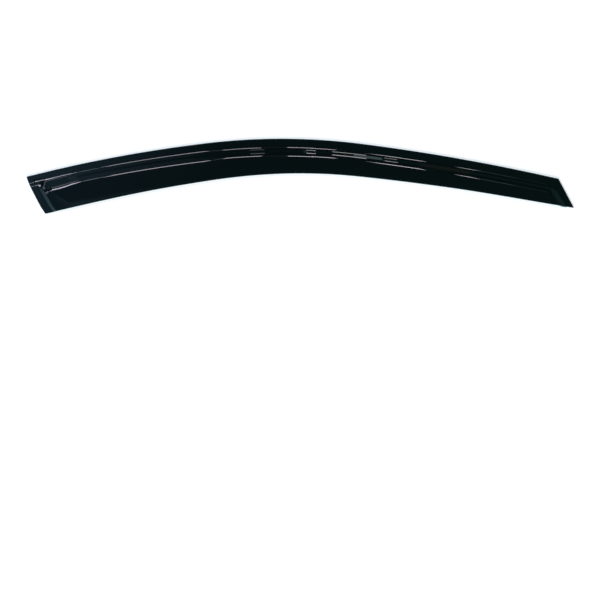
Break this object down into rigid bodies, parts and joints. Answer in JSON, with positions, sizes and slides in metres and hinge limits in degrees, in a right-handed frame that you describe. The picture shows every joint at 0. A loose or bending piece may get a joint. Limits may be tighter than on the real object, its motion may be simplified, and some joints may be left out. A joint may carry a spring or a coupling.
{
  "type": "window rain deflector",
  "caption": "Long smoked acrylic rain deflector for a car's front side window: arched taped flange, sloped shoulder band, raised face and open bottom edge.",
  "frame": {"origin": "middle of the outline in plan, at the back of the liner that the part lies on", "axes": "+X from the rear end to the front end, +Y up in the plane of the door window, +Z outward from the door. It lies on its back with the face up."},
  "size_m": [0.9594, 0.132, 0.0133],
  "materials": {
    "smoked_acrylic": "gloss, dark smoked teal",
    "foam_tape": "closed-cell acrylic foam, matte grey",
    "liner_film": "thin red peel-off film, satin"
  },
  "bodies": {
    "root": {"visor": "smoked_acrylic", "top_tape": "foam_tape", "rear_end_tape": "foam_tape", "front_end_tape": "foam_tape", "top_liner": "liner_film", "rear_end_liner": "liner_film", "front_end_liner": "liner_film"}
  },
  "joints": []
}
